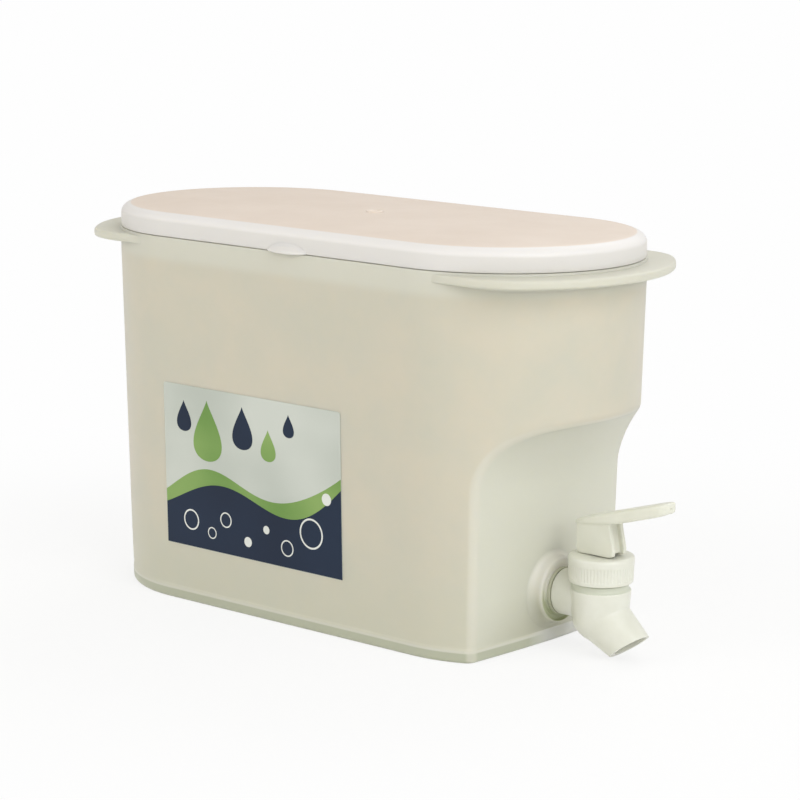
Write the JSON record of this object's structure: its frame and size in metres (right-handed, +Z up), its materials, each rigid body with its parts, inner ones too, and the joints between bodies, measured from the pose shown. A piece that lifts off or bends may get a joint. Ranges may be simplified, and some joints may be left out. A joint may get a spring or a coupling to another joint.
{
  "type": "fridge water jug with tap",
  "caption": "Tall stadium-shaped drinks tank with a flush lift-off lid, lifting ears, an arched recess and a spring-closed lever tap.",
  "frame": {"origin": "centre of the object's plan box, on the surface it stands on", "axes": "+X towards the tap, +Y towards the plain long side, -Y towards the label, +Z up"},
  "size_m": [0.3008, 0.1214, 0.171],
  "materials": {
    "tank_plastic": "translucent satin",
    "label_film": "printed film",
    "lid_plastic": "satin",
    "tap_plastic": "satin",
    "lever_plastic": "satin",
    "silicone": "matt",
    "spring_steel": "bright"
  },
  "bodies": {
    "jug": {"tank": "tank_plastic", "label": "label_film", "tap_body": "tap_plastic", "outer_gasket": "silicone", "inner_gasket": "silicone", "lock_nut": "tap_plastic", "tap_cap": "tap_plastic"},
    "lid": {"lid": "lid_plastic"},
    "stem": {"valve_stem": "tap_plastic", "seat_cup": "silicone", "return_spring": "spring_steel"},
    "lever": {"lever": "lever_plastic", "lever_pin": "spring_steel"}
  },
  "joints": [
    {"name": "lid_lift", "type": "slide", "parent": "jug", "child": "lid", "axis": [0, 0, 1], "range_m": [0, 0.06]},
    {"name": "stem_lift", "type": "slide", "parent": "jug", "child": "stem", "axis": [0, 0, 1], "range_m": [0, 0.00253], "deforming": ["return_spring"]},
    {"name": "lever_press", "type": "hinge", "parent": "stem", "child": "lever", "pos_m": [0.1159, 0, 0.048], "axis": [0, 1, 0], "range_deg": [0, 25], "stiffness_Nm_per_rad": 0.02, "springref_deg": -20.05}
  ],
  "couplings": [
    {"joint": "lever_press", "follows": "stem_lift", "rad_per_m": 172.4}
  ]
}
